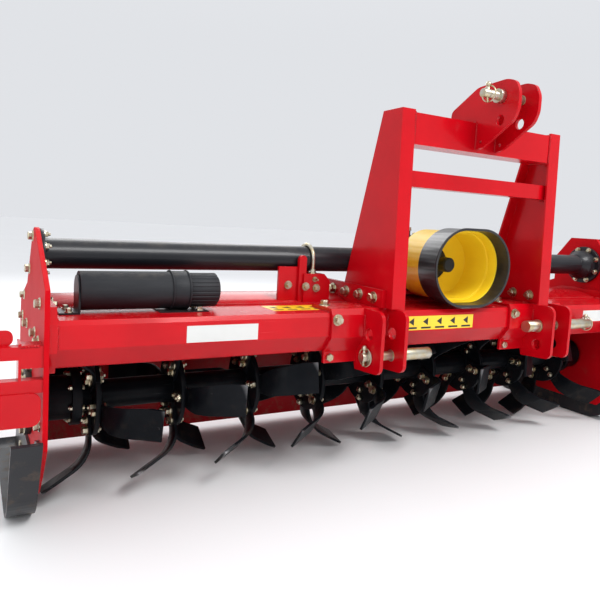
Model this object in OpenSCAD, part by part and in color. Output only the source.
/* [Frame] */
// Hitch centre to the outer face of the left end plate
left_reach = 1312; // [900:1:1800]
// Hitch centre to the outer face of the drive side end plate
right_reach = 962; // [800:1:1500]
// Thickness of both end plates
plate_t = 12; // [8:1:20]
// Height of the beam's upright nose face
nose_h = 57; // [30:1:90]
// Height of the beam's flat top above the nose fold
beam_top = 69; // [50:1:110]
// Drop of the beam's chin below the nose fold
chin_drop = 50; // [20:1:80]
// Thickness of the folded beam and hood sheet
sheet_t = 6; // [4:1:10]

/* [Rotor] */
// Rotor axis behind the nose fold
rotor_y = 290; // [270:1:330]
// Rotor axis below the nose fold
rotor_drop = 200; // [180:1:240]
// Radius swept by the blade tips
blade_r = 256; // [220:1:262]
// Radius of the rotor tube
rotor_tube_r = 42; // [35:1:60]
// Radius of the blade flanges
flange_r = 115; // [100:1:125]
// Thickness of a blade flange
flange_t = 14; // [8:1:20]
// Number of blade flanges
flange_n = 9; // [5:1:11]
// Blades on each side of a flange
blades_side = 3; // [2:1:4]
// Thickness of a blade
blade_t = 8; // [6:1:12]
// Width of a blade along its turn
blade_w = 56; // [40:1:66]
// Reach of a blade's bent leg past its flange
blade_reach = 133; // [90:1:140]
// Outer radius of a blade's bend
blade_bend_r = 100; // [60:1:110]
// Turn of a blade's bend
blade_bend_a = 62; // [50:1:75]
// Turn back from one flange to the next
helix_step = 11; // [5:1:25]
// Gap between the blade tips and the hood
hood_gap = 32; // [20:1:50]

/* [Drive] */
// Radius of the cross tube
tube_r = 41; // [30:1:55]
// Cross tube axis behind the nose fold
tube_y = 250; // [230:1:280]
// Cross tube axis above the nose fold
tube_z = 208; // [190:1:240]
// Wall of the cross tube
tube_wall = 6; // [4:1:10]
// Width of the gearbox housing
gearbox_w = 250; // [200:1:320]
// Depth of the gearbox housing along the input shaft
gearbox_d = 235; // [200:1:280]
// Height of the gearbox housing
gearbox_h = 188; // [170:1:200]
// Radius of the input shaft's splined end
pto_r = 17.4; // [15:0.1:22.5]
// Length of the input shaft outside the gearbox
pto_len = 76; // [60:1:120]
// Half width of the oval shield
shield_a = 165; // [130:1:190]
// Half height of the oval shield
shield_b = 128; // [110:1:132]
// Wall of the shield
shield_wall = 4; // [3:0.5:8]
// Front of the shield ahead of the nose fold
shield_front = 23; // [0:1:60]
// Length of the shield's black band
band_len = 90; // [50:1:120]
// Thickness of the side drive case
case_t = 100; // [80:1:140]

/* [Headstock] */
// Hitch centre to the outer face of an upright
mast_half = 350; // [300:1:420]
// Height of the uprights above the nose fold
mast_top = 682; // [620:1:760]
// Depth of an upright at its top
mast_top_d = 94; // [70:1:130]
// Depth of an upright at its foot
mast_foot_d = 272; // [200:1:290]
// Width of an upright's folded flange
mast_flange = 50; // [35:1:70]
// Thickness of the uprights
mast_t = 8; // [6:1:12]
// Side of the square top crossbar
top_bar = 94; // [70:1:110]
// Side of the square middle crossbar
mid_bar = 49; // [40:1:70]
// Underside of the middle crossbar above the nose fold
mid_bar_z = 454; // [380:1:520]
// Wall of both crossbars
bar_wall = 6; // [4:1:10]

/* [Hitch] */
// Hitch centre to the middle of a lower clevis
lower_half = 370; // [340:1:440]
// Distance between the two plates of a clevis, centre to centre
clevis_pitch = 86; // [70:1:110]
// Thickness of the clevis plates
clevis_t = 12; // [10:1:20]
// Height between the two lower pin holes
hole_step = 68; // [60:1:90]
// Radius of the lower clevis holes
lower_hole_r = 18.7; // [16:0.05:19.5]
// Radius of the thin length of a lower pin
pin_thin_r = 14; // [10.8:0.05:15.5]
// Radius of the thick length of a lower pin
pin_thick_r = 18.3; // [14:0.05:20]
// Radius of the top link holes
top_hole_r = 16.5; // [14:0.05:17.5]
// Radius of the top link pin
top_pin_r = 12.7; // [9.7:0.05:13.5]
// Height between the two top link holes
top_hole_step = 71; // [60:1:90]

/* [Rear board] */
// Hinge line behind the nose fold
board_y = 590; // [580:1:620]
// Hinge line below the nose fold
board_drop = 105; // [80:1:130]
// Length of the board below its hinge
board_len = 328; // [260:1:345]
// Thickness of the board
board_t = 5; // [4:1:8]
// Radius of the hinge rod
rod_r = 8; // [6:0.5:12]
// Number of hinge eyes
hinge_n = 5; // [3:1:7]

/* [Skids and guards] */
// Width of a skid's sole
skid_w = 67; // [50:1:90]
// Thickness of a skid's sole
skid_t = 9; // [6:1:14]
// Gap between the blade tips and the ground
ground_gap = 9; // [6:1:40]
// Side of the guard's square tubes
guard_tube = 30; // [25:1:40]
// Reach of the side guard outside the end plate
guard_reach = 190; // [120:1:300]

/* [Document canister] */
// Radius of the canister
can_r = 50; // [40:1:60]
// Length of the canister's body
can_len = 285; // [220:1:320]
// Length of the canister's cap
can_cap = 85; // [60:1:110]
// Space between the left end plate and the canister
can_gap = 81; // [72:1:300]

/* [Hidden] */
$fn = 64;

rotor_z = -rotor_drop;
hood_r = blade_r + hood_gap;
hood_out = hood_r + sheet_t;
ground_z = rotor_z - blade_r - ground_gap;
left_in = -left_reach + plate_t;
right_in = right_reach - plate_t;
span = right_in - left_in;
// Height of the rotor hood's crown above the beam's nose fold
crown_z = rotor_z + hood_out;
// Point where the flat top of the beam meets the hood
top_meet_y = rotor_y - sqrt(pow(hood_out, 2) - pow(beam_top - rotor_z, 2));
chin_y = rotor_y - sqrt(pow(hood_out, 2) - pow(-chin_drop - rotor_z, 2));
board_z = -board_drop;
mast_front_top = -32;
mast_front_foot = -47;
seat_top = 137;
seat_t = 14;
seat_half = mast_half + seat_t;
seat_back = rotor_y + 55;
top_bar_z = mast_top - 8 - top_bar;
top_bar_front = -30;
mid_bar_front = -20;

cap_t = 18;
cap_grow = 12;
cap_rise = 32;
plate_front = -20;
plate_back = 660;
plate_bottom = -400;
plate_top_r = 68;
housing_r = 64;
hub_r = 62;
journal_big_r = 40;
journal_r = 24;
run = 0.1;
seat_gap = 0.3;
hood_back_a = 20;
hood_front_a = 180 - asin((-chin_drop - rotor_z) / hood_out);
rail = 36;
rail_a = 30;
case_flange_r = 80;
mount_t = 12;
mount_half = 165;
gearbox_bottom = crown_z + mount_t;
gearbox_front = tube_y - 50;
gear_y = gearbox_front + gearbox_d / 2;
gearbox_top = gearbox_bottom + gearbox_h;
boss_r = 60;
boss_len = 20;
band_wall = 5;
shield_mouth = 29;
shield_step = 72;
shield_back = gearbox_front - boss_len;
top_bar_d = 80;
top_hole_y = -124;
top_hole_z = mast_top - 11;
top_pin_z = top_hole_z + top_hole_step;
ear_z = beam_top + 12;
clevis_front = -97;
clevis_out = clevis_pitch / 2 + clevis_t / 2;
low_hole_y = -34;
low_hole_z = 6;
base_t = 10;
base_wide = 165;
base_short = 105;
bush_gap = 0.25;
stay_x = -486;
clamp_r = 6;
can_y = 122;
can_left = left_reach - plate_t - can_gap;
can_z = beam_top + can_r + 5.3;
leg_back = 22;
leg_front = 70;
leg_r = sqrt(pow(blade_r, 2) - pow(leg_front, 2));
leg_len = (blade_reach - blade_bend_r * (1 - cos(blade_bend_a))) / sin(blade_bend_a);
bend_foot = leg_r - blade_bend_r * sin(blade_bend_a) - leg_len * cos(blade_bend_a);
first_turn = 103;
hub_disc_r = 80;
shank_foot = rotor_tube_r + 8;
flange_left = left_in + blade_reach + flange_t / 2 + 10;
flange_right = right_in - blade_reach - flange_t / 2 - 50;
eye_len = 50;
sole_front = 200;
nose_r = 170;
nose_len = 200;
tail_r = 90;
part_front = top_hole_y - 67;
part_back = 681;
sole_back = part_back - tail_r * cos(50);

part_left = left_reach + guard_reach;
part_right = right_reach + guard_reach;
shift_x = (part_left - part_right) / 2;
shift_y = -(part_front + part_back) / 2;
shift_z = -ground_z;

red = [0.80, 0.05, 0.08];
black = [0.09, 0.09, 0.10];
zinc = [0.78, 0.76, 0.66];

// Puts a piece drawn from the hitch centre and the nose fold on its ground frame
module place() { translate([shift_x, shift_y, shift_z]) children(); }

// Extrudes an outline drawn in Y and Z along X, from x0 over len
module along_x(x0, len) {
  translate([x0, 0, 0]) rotate([90, 0, 90]) linear_extrude(len) children();
}

// Round bar along X
module bar_x(x0, len, y, z, r) {
  translate([x0, y, z]) rotate([0, 90, 0]) cylinder(r = r, h = len);
}

// Point where the line from p touches the circle at c, on the side s
function touch(p, c, r, s) = let (d = c - p, a = atan2(d[1], d[0]) + s * (90 + asin(r / norm(d))))
  c + r * [cos(a), sin(a)];

// Part of a ring between two angles, round the origin
module sector(r0, r1, a0, a1) {
  intersection() {
    difference() {
      circle(r = r1);
      circle(r = r0);
    }
    polygon(concat([[0, 0]], [for (k = [0 : 6]) 2 * r1 * [cos(a0 + (a1 - a0) * k / 6), sin(a0 + (a1 - a0) * k / 6)]]));
  }
}

// Disc of the hood's outside, which beams and feet are cut to
module hood_disc() { translate([rotor_y, rotor_z]) circle(r = hood_out + seat_gap, $fn = 180); }

// Lower outline that both end plates share, from the front edge to the back
plate_low = [[plate_back, -140], [560, -300], [440, plate_bottom], [130, plate_bottom],
  [60, -330], [plate_front, -232], [plate_front, 143]];

// Outline of the left end plate, rounded round the cross tube
module plate_left_outline() {
  c = [tube_y, tube_z];
  t1 = touch([plate_front, 143], c, plate_top_r, 1);
  t2 = touch([430, 110], c, plate_top_r, -1);
  polygon(concat(plate_low, [t1, c, t2, [430, 110], [640, 40], [plate_back, -20]]));
  translate(c) circle(r = plate_top_r);
}

// Outline of the drive side end plate, with eight straight sides round the tube
module plate_right_outline() {
  polygon(concat(plate_low, [[plate_front, 190], [tube_y - 110, 240], [tube_y - 45, 325],
    [tube_y + 80, 325], [tube_y + 150, 240], [tube_y + 150, 130], [640, 40], [plate_back, -20]]));
}

// Bearing opening through an end plate
module bearing_hole() { translate([rotor_y, rotor_z]) circle(r = housing_r); }

module end_plate_left() color(red) place() along_x(-left_reach, plate_t) difference() {
  plate_left_outline();
  bearing_hole();
}

module end_plate_right() color(red) place() along_x(right_in, plate_t) difference() {
  plate_right_outline();
  bearing_hole();
}

// Outside of the beam box, open at the back where the hood closes it
module beam_outline(grow) {
  polygon([[-grow, -grow], [-grow, nose_h + grow], [sheet_t, beam_top + grow],
    [rotor_y, beam_top + grow], [rotor_y, -chin_drop - grow], [chin_y - grow, -chin_drop - grow]]);
}

module beam() color(red) place() along_x(left_in + cap_t, span - 2 * cap_t) difference() {
  beam_outline(0);
  beam_outline(-sheet_t);
  hood_disc();
}

module hood() color(red) place() along_x(left_in, span)
  translate([rotor_y, rotor_z]) sector(hood_r, hood_out, hood_back_a, hood_front_a);

// Flange at each end of the beam and hood, bolted to the end plate
module beam_caps() color(red) place() for (x = [left_in, right_in - cap_t]) along_x(x, cap_t) {
  difference() {
    polygon([[-8, -6], [-8, nose_h + 5], [8, beam_top + cap_rise], [rotor_y, beam_top + cap_rise],
      [rotor_y, -chin_drop - cap_grow], [chin_y - 8, -chin_drop - cap_grow]]);
    hood_disc();
  }
  translate([rotor_y, rotor_z]) sector(hood_out, hood_out + cap_grow, hood_back_a, hood_front_a);
}

// Square tube along the hood's back edge, which carries the board's lugs
module rear_rail() color(red) place() translate([0, rotor_y, rotor_z]) rotate([rail_a, 0, 0])
  translate([left_in + cap_t, hood_out, -rail / 2]) difference() {
    cube([span - 2 * cap_t, rail, rail]);
    translate([-1, 4, 4]) cube([span, rail - 8, rail - 8]);
  }

module cross_tube_left() color(black) place() difference() {
  union() {
    bar_x(left_in, -gearbox_w / 2 - left_in, tube_y, tube_z, tube_r);
    bar_x(left_in, 10, tube_y, tube_z, plate_top_r - 2);
    bar_x(-gearbox_w / 2 - 14, 14, tube_y, tube_z, tube_r + 26);
  }
  bar_x(left_in - 1, span, tube_y, tube_z, tube_r - tube_wall);
}

module cross_tube_right() color(black) place() difference() {
  union() {
    bar_x(gearbox_w / 2, right_in - gearbox_w / 2, tube_y, tube_z, tube_r);
    bar_x(gearbox_w / 2, 14, tube_y, tube_z, tube_r + 26);
    bar_x(right_in - 16, 16, tube_y, tube_z, case_flange_r);
    bar_x(right_in - 44, 30, tube_y, tube_z, case_flange_r - 18);
    translate([right_in - 74, tube_y, tube_z]) rotate([0, 90, 0])
      cylinder(r1 = tube_r + 2, r2 = case_flange_r - 18, h = 32);
  }
  bar_x(gearbox_w / 2 - 1, span, tube_y, tube_z, tube_r - tube_wall);
}

// Eight sided outline of the gearbox, seen along X
module gearbox_outline(grow) {
  b = gearbox_d / 2 + grow;
  c = gearbox_d / 5;
  top = gearbox_top + grow;
  polygon([[gear_y - b, gearbox_bottom + c], [gear_y - b + c, gearbox_bottom],
    [gear_y + b - c, gearbox_bottom], [gear_y + b, gearbox_bottom + c],
    [gear_y + b, top - c], [gear_y + b - c, top], [gear_y - b + c, top], [gear_y - b, top - c]]);
}

module gearbox() color(black) place() difference() {
  union() {
    along_x(-gearbox_w / 2 + 22, gearbox_w - 44) gearbox_outline(-6);
    bar_x(-gearbox_w / 2, gearbox_w, tube_y, tube_z, tube_r + 27);
    translate([0, gearbox_front + 10, tube_z]) rotate([90, 0, 0]) cylinder(r = boss_r, h = boss_len + 10);
    translate([0, gearbox_front + 10, tube_z]) rotate([90, 0, 0]) cylinder(r = boss_r + 24, h = boss_len);
    translate([0, gear_y + gearbox_d / 2 - 8, tube_z]) rotate([-90, 0, 0]) cylinder(r = boss_r + 14, h = 30);
    translate([-80, gear_y - 70, gearbox_top - 8]) cube([160, 140, 15]);
    translate([-60, gear_y - 52, gearbox_top]) cylinder(r = 13, h = 26);
    for (x = [-gearbox_w / 2 + 22, -5, gearbox_w / 2 - 32]) along_x(x, 10) gearbox_outline(0);
    for (x = [-112, 62]) translate([x, gearbox_front + 4, gearbox_bottom]) cube([50, gearbox_d - 8, 22]);
  }
  translate([0, gearbox_front + 60, tube_z]) rotate([90, 0, 0]) cylinder(r = journal_r + run, h = 140);
}

// Saddle that seats the gearbox on the crown of the hood
module gearbox_mount() color(red) place() {
  g0 = max(top_meet_y + 3, gearbox_front - 8);
  g1 = gearbox_front + gearbox_d + 8;
  translate([-mount_half, g0, crown_z]) cube([2 * mount_half, g1 - g0, mount_t]);
  for (x = [-mount_half, mount_half - 12]) along_x(x, 12) difference() {
    polygon([[g0, crown_z - 60], [g0, crown_z + 1], [g1, crown_z + 1], [g1, crown_z - 60]]);
    hood_disc();
  }
}

module pto_shaft() color(zinc) place() translate([0, gearbox_front - boss_len, tube_z]) rotate([90, 0, 0]) {
  translate([0, 0, -50]) cylinder(r = journal_r, h = 56);
  difference() {
    linear_extrude(pto_len) difference() {
      circle(r = pto_r);
      for (k = [0 : 5]) rotate(k * 60) translate([pto_r - 2.6, -4.6]) square([6, 9.2]);
    }
    translate([0, 0, pto_len - 38]) rotate_extrude() translate([pto_r + 2, 0]) circle(r = 6.8);
  }
}

// Oval of two half circles and the straight length between them
module oval(a, b) {
  for (s = [-1, 1]) translate([s * (a - b), 0]) circle(r = b);
  translate([b - a, -b]) square([2 * (a - b), 2 * b]);
}

// Oval wall standing ahead of y1, over len along the input shaft
module oval_wall(y1, len, inset, wall) {
  translate([0, y1, tube_z]) rotate([90, 0, 0]) linear_extrude(len) difference() {
    oval(shield_a - inset, shield_b - inset);
    oval(shield_a - inset - wall, shield_b - inset - wall);
  }
}

module pto_shield() color([0.93, 0.66, 0.05]) place() {
  oval_wall(shield_step, shield_step - shield_mouth, band_wall, shield_wall);
  oval_wall(shield_back, shield_back - shield_step + shield_wall, band_wall + shield_wall, shield_wall + 2);
  translate([0, shield_back, tube_z]) rotate([90, 0, 0]) linear_extrude(shield_wall) difference() {
    oval(shield_a - band_wall - shield_wall, shield_b - band_wall - shield_wall);
    circle(r = boss_r + 0.3);
  }
}

module shield_band() color(black) place() {
  oval_wall(band_len - shield_front, band_len, 0, band_wall);
  oval_wall(8 - shield_front, 8, -3, band_wall + 3);
}

// Outline of an upright, its folded flanges left out by the inset
module upright_outline(inset) {
  polygon([[mast_front_foot + inset, ear_z], [mast_front_top + inset, mast_top],
    [mast_front_top + mast_top_d - inset, mast_top], [mast_front_foot + mast_foot_d - inset, ear_z + 32],
    [mast_front_foot + mast_foot_d - inset, ear_z]]);
}

// Folded channel, open towards the middle of the headstock
module upright(side) color(red) place() mirror([side < 0 ? 1 : 0, 0, 0]) difference() {
  along_x(mast_half - mast_flange, mast_flange) difference() {
    upright_outline(0);
    hood_disc();
    translate([tube_y, tube_z]) circle(r = tube_r + 6);
  }
  along_x(mast_half - mast_flange - 1, mast_flange - mast_t + 1) upright_outline(mast_t);
}

// Square tube between the uprights
module crossbar(y0, z0, deep, tall, inset) color(red) place() difference() {
  translate([inset - mast_half, y0, z0]) cube([2 * (mast_half - inset), deep, tall]);
  translate([-mast_half, y0 + bar_wall, z0 + bar_wall])
    cube([2 * mast_half, deep - 2 * bar_wall, tall - 2 * bar_wall]);
}

module upright_left() upright(-1);
module upright_right() upright(1);
module top_crossbar() crossbar(top_bar_front, top_bar_z, top_bar_d, top_bar, mast_flange);
module mid_crossbar() crossbar(mid_bar_front, mid_bar_z, mid_bar, mid_bar, mast_t);

// Plates on the beam that the uprights are bolted to
module headstock_seats() color(red) place() for (x = [-seat_half, mast_half]) along_x(x, seat_t) difference() {
  polygon([[-15, ear_z], [-15, seat_top], [seat_back - 23, seat_top], [seat_back, crown_z],
    [seat_back, beam_top - 10],
    [top_meet_y, beam_top - 10], [top_meet_y, beam_top], [115, beam_top], [115, ear_z]]);
  hood_disc();
}

// Points p with each corner between the first and the last point rounded over a length d
function softened(p, d) = concat([p[0]], [for (i = [1 : len(p) - 2]) for (t = [0 : 0.25 : 1])
  pow(1 - t, 2) * toward(p[i], p[i - 1], d) + 2 * t * (1 - t) * p[i] + pow(t, 2) * toward(p[i], p[i + 1], d)],
  [p[len(p) - 1]]);
function toward(a, b, d) = a + (b - a) * d / norm(b - a);

// Outline of a top link plate, notched for the top crossbar
module top_link_outline() {
  difference() {
    polygon(softened([[90, top_bar_z + top_bar], [90, top_hole_z + 50], [top_hole_y + 100, top_pin_z + 43],
      [top_hole_y - 16, top_pin_z + 51], [top_hole_y - 50, top_pin_z + 41], [top_hole_y - 67, top_pin_z + 8],
      [top_hole_y - 67, top_hole_z + 29], [top_hole_y - 53, top_hole_z - 4], [top_bar_front - 36, top_bar_z + 17],
      [top_bar_front - 8, top_bar_z + 8], [top_bar_front + 1, top_bar_z + 10]], 13));
    translate([top_bar_front, top_bar_z - 1]) square([200, top_bar + 1]);
    for (z = [top_hole_z, top_pin_z]) translate([top_hole_y, z]) circle(r = top_hole_r);
    translate([top_bar_front - 20, top_bar_z + 32]) circle(r = 5.5);
  }
}

module top_link_plates() color(red) place() for (s = [-1, 1])
  along_x(s * clevis_pitch / 2 - clevis_t / 2, clevis_t) top_link_outline();

module top_link_pin() color(zinc) place() {
  bar_x(-clevis_pitch / 2 - 86, clevis_pitch + 86 + 20, top_hole_y, top_pin_z, top_pin_r);
  bar_x(-clevis_pitch / 2 - clevis_t / 2 - 20, 20, top_hole_y, top_pin_z, 21);
  bar_x(clevis_pitch / 2 + clevis_t / 2, 10, top_hole_y, top_pin_z, 21);
}

// Points round a corner at c, from angle a0 to a1
function corner(c, r, a0, a1) = [for (k = [0 : 6]) c + r * [cos(a0 + (a1 - a0) * k / 6), sin(a0 + (a1 - a0) * k / 6)]];

// Outline of a lower clevis plate, with both pin holes
module clevis_outline() {
  difference() {
    polygon(concat([[94, beam_top], [94, ear_z]], corner([clevis_front + 28, ear_z - 28], 28, 90, 180),
      corner([clevis_front + 24, -82], 24, 180, 262),
      [[30, -113], [chin_y, -92], [chin_y, -chin_drop], [0, 0], [0, nose_h], [sheet_t, beam_top]]));
    for (z = [low_hole_z, low_hole_z - hole_step]) translate([low_hole_y, z]) circle(r = lower_hole_r);
  }
}

// Outline of the bent base, which wraps the beam from its top to below the chin
module base_outline() {
  polygon([[-base_t, -5], [-base_t, nose_h + 6], [0, ear_z], [114, ear_z], [114, beam_top], [sheet_t, beam_top],
    [0, nose_h], [0, 0], [chin_y, -chin_drop], [chin_y, -88], [chin_y - base_t, -88],
    [chin_y - base_t, -chin_drop - 3]]);
}

module hitch_base(side) color(red) place()
  along_x(side * lower_half - base_wide, base_wide + base_short) base_outline();

// Two plates welded to the front of a base
module clevis_plates(side) color(red) place() for (s = [-1, 1])
  along_x(side * lower_half + s * clevis_pitch / 2 - clevis_t / 2, clevis_t) difference() {
    clevis_outline();
    base_outline();
  }

module hitch_base_left() hitch_base(-1);
module clevis_plates_left() clevis_plates(-1);
module hitch_base_right() hitch_base(1);
module clevis_plates_right() clevis_plates(1);

// Stepped lower pin: thin through the clevis, thick outside it
module hitch_pin(mid, z, thick_len, thin_out, head_len) color(zinc) place()
  translate([mid, low_hole_y, z]) {
    if (head_len > 0) bar_x(-clevis_out - head_len, head_len, 0, 0, 20);
    bar_x(-clevis_out - 5, 5, 0, 0, lower_hole_r + 4);
    bar_x(-clevis_out - thin_out, 2 * clevis_out + thin_out + 5, 0, 0, pin_thin_r);
    bar_x(clevis_out, thick_len, 0, 0, pin_thick_r);
    translate([clevis_out + thick_len, 0, 0]) rotate([0, 90, 0])
      cylinder(r1 = pin_thick_r, r2 = pin_thick_r - 4, h = 5);
  }

module hitch_pin_left() hitch_pin(-lower_half, low_hole_z - hole_step, 137, 24, 0);
module hitch_pin_right() hitch_pin(lower_half, low_hole_z, 180, 62, 62);

// Bushes that fill the holes of a clevis round its pin, at x on the line y, z
module bushes(x, y, z, hole_r, pin_r) {
  for (s = [-1, 1]) difference() {
    bar_x(x + s * clevis_pitch / 2 - clevis_t / 2, clevis_t, y, z, hole_r - bush_gap);
    bar_x(x + s * clevis_pitch / 2 - clevis_t, 2 * clevis_t, y, z, pin_r + run);
  }
}

module pin_bushes() color(zinc) place() {
  bushes(0, top_hole_y, top_pin_z, top_hole_r, top_pin_r);
  bushes(-lower_half, low_hole_y, low_hole_z - hole_step, lower_hole_r, pin_thin_r);
  bushes(lower_half, low_hole_y, low_hole_z, lower_hole_r, pin_thin_r);
}

// Bracket on the hood that steadies the cross tube
module tube_stay() color(red) place() difference() {
  union() {
    along_x(stay_x - 44, 96) polygon([[178, 60], [178, 165], [212, 165], [212, 116], [282, 116], [282, 165],
      [314, 165], [314, 60]]);
    translate([stay_x - 59, 186, 60]) cube([26, 14, 150]);
    translate([stay_x - 46, 200, 210]) rotate([90, 0, 0]) cylinder(r = 13, h = 14);
    translate([stay_x - 126, 196, 60]) cube([68, 10, 126]);
  }
  along_x(stay_x - 200, 400) hood_disc();
  along_x(stay_x - 200, 400) translate([100, 0]) square([top_meet_y - 100, beam_top]);
  translate([stay_x + 30, 170, 165]) rotate([0, 45, 0]) cube([60, 160, 60]);
  for (s = [-1, 1]) translate([stay_x, tube_y + s * (tube_r + clamp_r), 60]) cylinder(r = clamp_r + 0.2, h = 150);
}

// Round bar bent over the cross tube, its legs held in the stay
module tube_clamp() color(zinc) place() translate([stay_x, tube_y, tube_z]) {
  rotate([90, 0, 90]) rotate_extrude(angle = 180) translate([tube_r + clamp_r, 0]) circle(r = clamp_r);
  for (s = [-1, 1]) translate([0, s * (tube_r + clamp_r), crown_z + 20 - tube_z])
    cylinder(r = clamp_r, h = tube_z - crown_z - 20);
}

module canister() color(black) place() {
  bar_x(-can_left, can_len - 50, can_y, can_z, can_r);
  bar_x(-can_left + can_len - 50, 50, can_y, can_z, can_r + 2);
}

// Screw cap with grip flutes
module canister_cap() color(black) place() translate([-can_left + can_len, can_y, can_z]) rotate([0, 90, 0]) {
  linear_extrude(can_cap - 6) difference() {
    circle(r = can_r - 3);
    for (k = [0 : 23]) rotate(k * 15) translate([can_r - 1.5, 0]) circle(r = 3);
  }
  translate([0, 0, can_cap - 6]) cylinder(r1 = can_r - 6, r2 = can_r - 11, h = 6);
}

// Folded feet under the canister, one at each end
module canister_feet() color(black) place() {
  translate([-can_left - 50, 80, beam_top]) cube([50, 80, 5]);
  translate([-can_left - 5, 80, beam_top]) cube([5, 80, can_z - beam_top]);
  bar_x(-can_left - 5, 5, can_y, can_z, 40);
  translate([-can_left + can_len - 85, 75, beam_top]) cube([135, 90, 3]);
}

// Outline of the side drive case, round its top and bottom shafts
module case_outline(grow) {
  a = [tube_y, tube_z];
  b = [rotor_y, rotor_z];
  ra = 108 + grow;
  rb = 98 + grow;
  lean = atan2(b[1] - a[1], b[0] - a[0]);
  open = acos((ra - rb) / norm(b - a));
  u = [cos(lean + open), sin(lean + open)];
  v = [cos(lean - open), sin(lean - open)];
  translate(a) circle(r = ra);
  translate(b) circle(r = rb);
  polygon([a + (ra - 0.4) * u, a, a + (ra - 0.4) * v, b + (rb - 0.4) * v, b, b + (rb - 0.4) * u]);
}

module side_drive_case() color(red) place() difference() {
  along_x(right_reach, case_t) case_outline(0);
  bar_x(right_reach - 1, 45, rotor_y, rotor_z, journal_big_r + run);
}

module side_drive_cover() color(red) place() {
  along_x(right_reach + case_t, 10) case_outline(10);
  bar_x(right_reach + case_t, 26, tube_y, tube_z, 62);
  bar_x(right_reach + case_t, 30, rotor_y, rotor_z, 66);
}

// Outer bearing of the rotor, bolted on the left end plate
module bearing_housing() color(black) place() difference() {
  union() {
    bar_x(-left_reach - 16, 16, rotor_y, rotor_z, housing_r + 28);
    bar_x(-left_reach - 40, 40, rotor_y, rotor_z, housing_r - 8);
    bar_x(-left_reach, plate_t, rotor_y, rotor_z, housing_r - 0.3);
  }
  bar_x(-left_reach - 24, 60, rotor_y, rotor_z, journal_big_r + run);
}

module rotor_shaft() color(black) place() {
  bar_x(-left_reach - 20, left_in + 6 + left_reach + 20, rotor_y, rotor_z, journal_big_r);
  bar_x(left_in + 6, 84, rotor_y, rotor_z, hub_r);
  bar_x(left_in + 88, 26, rotor_y, rotor_z, hub_disc_r);
  bar_x(right_in - 114, 26, rotor_y, rotor_z, hub_disc_r);
  bar_x(left_in + 6, span - 12, rotor_y, rotor_z, rotor_tube_r);
  bar_x(right_in - 90, 84, rotor_y, rotor_z, hub_r);
  bar_x(right_in - 6, plate_t + 46, rotor_y, rotor_z, journal_big_r);
}

// Middle of each blade flange along X
function flange_x(i) = flange_left + i * (flange_right - flange_left) / (flange_n - 1);

module rotor_flanges() color(black) place() for (i = [0 : flange_n - 1]) difference() {
  bar_x(flange_x(i) - flange_t / 2, flange_t, rotor_y, rotor_z, flange_r);
  bar_x(flange_x(i) - flange_t, 2 * flange_t, rotor_y, rotor_z, rotor_tube_r + seat_gap);
}

// One blade: a flat shank up the flange that bends over into a leg along X
module blade() {
  intersection() {
    translate([0, 90, 0]) rotate([90, 0, 0]) linear_extrude(180) {
      translate([0, shank_foot]) square([blade_t, bend_foot - shank_foot]);
      translate([blade_bend_r, bend_foot]) {
        sector(blade_bend_r - blade_t, blade_bend_r, 180 - blade_bend_a, 180);
        rotate(-blade_bend_a) translate([-blade_bend_r, 0]) square([blade_t, leg_len]);
      }
    }
    along_x(-1, blade_reach + 10) polygon([[-blade_w / 2, shank_foot], [blade_w / 2, shank_foot],
      [blade_w / 2 + 2, 118], [blade_w / 2 + 16, 150], [leg_front - 12, 190], [leg_front, 225],
      [leg_front, leg_r], [leg_front - 30, leg_r + 6], [-leg_back, leg_r + 5], [-leg_back - 6, 205],
      [-blade_w / 2 - 4, 165], [-blade_w / 2, 125]]);
  }
}

module rotor_blades() color(black) place() translate([0, rotor_y, rotor_z])
  for (i = [0 : flange_n - 1], k = [0 : blades_side - 1], s = [-1, 1])
    rotate([first_turn - i * helix_step + (k + (s > 0 ? 0 : 0.5)) * 360 / blades_side, 0, 0])
      translate([flange_x(i), 0, 0]) mirror([s < 0 ? 1 : 0, 0, 0])
        translate([flange_t / 2, 0, 0]) blade();

// Middle of each board hinge along X
function hinge_x(i) = left_in + 140 + i * (span - 280) / (hinge_n - 1);

module rear_board() color([0.62, 0.03, 0.06]) place() difference() {
  union() {
    translate([left_in + 10, board_y - board_t / 2, board_z - board_len])
      cube([span - 20, board_t, board_len - 20]);
    translate([left_in + 10, board_y, board_z - board_len]) cube([span - 20, 32, board_t]);
    translate([left_in + 10, board_y, board_z - board_len / 2]) cube([span - 20, 24, board_t]);
    for (i = [0 : hinge_n - 1]) {
      bar_x(hinge_x(i) - eye_len / 2, eye_len, board_y, board_z, rod_r + 9);
      translate([hinge_x(i) - eye_len / 2, board_y - board_t / 2, board_z - 21])
        cube([eye_len, board_t, 21]);
      along_x(hinge_x(i) - 4, 8) polygon([[board_y, board_z - 10], [board_y + 16, board_z - 12],
        [board_y + 32, board_z - board_len], [board_y, board_z - board_len]]);
    }
  }
  bar_x(left_in, span, board_y, board_z, rod_r + run);
}

module board_rod() color(zinc) place() bar_x(left_in + 14, span - 28, board_y, board_z, rod_r);

module board_lugs() color(red) place() for (i = [0 : hinge_n - 1], s = [-1, 1])
  along_x(hinge_x(i) + s * (eye_len / 2 + 6) - 4, 8) difference() {
    union() {
      translate([board_y, board_z]) circle(r = rod_r + 8);
      polygon([[board_y - 2, board_z + rod_r + 8], [board_y - 26, board_z + 50], [board_y - 62, board_z + 22],
        [board_y - 36, board_z - 16], [board_y, board_z - rod_r - 8]]);
    }
    translate([board_y, board_z]) circle(r = rod_r + run);
    hood_disc();
    translate([rotor_y, rotor_z]) rotate(rail_a) translate([hood_out, -rail / 2]) square(rail);
  }

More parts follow.
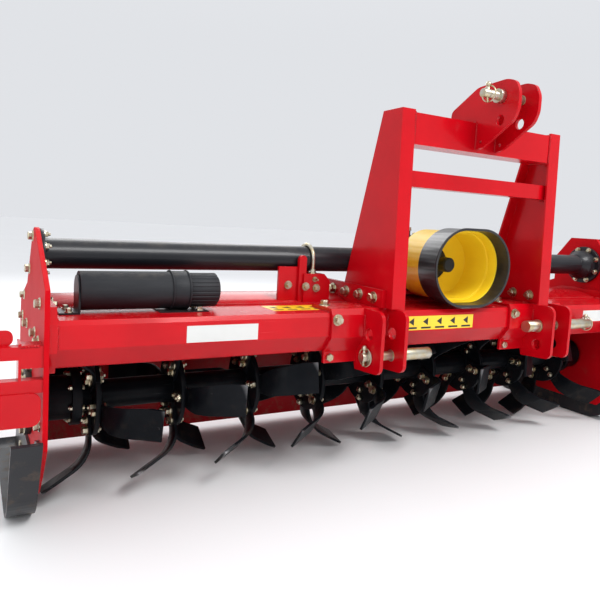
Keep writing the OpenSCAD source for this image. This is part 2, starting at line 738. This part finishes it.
// Line along a skid's sole at the depth t inside it, from the rear tip to the nose
function sole_line(t) = concat(
  [for (a = [310 : -5 : 270]) [sole_back, ground_z + tail_r] + (tail_r - t) * [cos(a), sin(a)]],
  [for (a = [270 : -5 : 210]) [sole_front, ground_z + nose_r] + (nose_r - t) * [cos(a), sin(a)]],
  [[sole_front, ground_z + nose_r] + (nose_r - t) * [cos(210), sin(210)]
    + nose_len * [sin(210), -cos(210)]]);

// Skid: bent sole and the side web that bolts to the end plate
module skid(x_in, dir) color(black) place() translate([x_in, 0, 0]) mirror([dir < 0 ? 1 : 0, 0, 0]) {
  back = sole_line(skid_t);
  along_x(0, skid_w) polygon(concat(sole_line(0), [for (k = [len(back) - 1 : -1 : 0]) back[k]]));
  along_x(0, 8) polygon(concat([[12, -222], [60, -232], [150, -312], [560, -312], [632, -372]],
    sole_line(skid_t / 2)));
}

module skid_left() skid(-left_reach, -1);
module skid_right() skid(right_reach, 1);

// Square tube along X for the side guard
module guard_bar(x0, len, z0) {
  difference() {
    translate([x0, -15, z0]) cube([len, guard_tube, guard_tube]);
    translate([x0 + 4, -12, z0 + 3]) cube([len, guard_tube - 6, guard_tube - 6]);
  }
}

// Plate with rounded corners facing forward
module paddle(x0, len, y0, t, z0, tall, r) {
  translate([x0, y0 + t, z0]) rotate([90, 0, 0]) linear_extrude(t) {
    translate([r, 0]) square([len - 2 * r, tall]);
    translate([0, r]) square([len, tall - 2 * r]);
    for (x = [r, len - r], z = [r, tall - r]) translate([x, z]) circle(r = r);
  }
}

// Side guard: bracket on the end plate, two square tubes and their plates
module guard(x_in, dir) color(red) place() translate([x_in, 0, 0]) mirror([dir < 0 ? 1 : 0, 0, 0]) {
  translate([0, -15, -35]) cube([46, 60, 50]);
  translate([46, -15, -75]) cube([6, 60, 97]);
  guard_bar(50, guard_reach - 50, -15);
  guard_bar(0, guard_reach, -93);
  translate([guard_reach - guard_tube, -15, -64]) cube([guard_tube, guard_tube, 50]);
  paddle(62, guard_reach - 62, 5, 6, 14, 36, 16);
  paddle(4, guard_reach - 4, -20, 8, -170, 78, 22);
}

module guard_left() guard(-left_reach, -1);
module guard_right() guard(right_reach, 1);

end_plate_left();
end_plate_right();
beam();
hood();
beam_caps();
rear_rail();
cross_tube_left();
cross_tube_right();
gearbox();
gearbox_mount();
pto_shaft();
pto_shield();
shield_band();
upright_left();
upright_right();
top_crossbar();
mid_crossbar();
headstock_seats();
top_link_plates();
top_link_pin();
hitch_base_left();
clevis_plates_left();
hitch_base_right();
clevis_plates_right();
hitch_pin_left();
hitch_pin_right();
pin_bushes();
tube_stay();
tube_clamp();
canister();
canister_cap();
canister_feet();
side_drive_case();
side_drive_cover();
bearing_housing();
rotor_shaft();
rotor_flanges();
rotor_blades();
rear_board();
board_rod();
board_lugs();
skid_left();
skid_right();
guard_left();
guard_right();
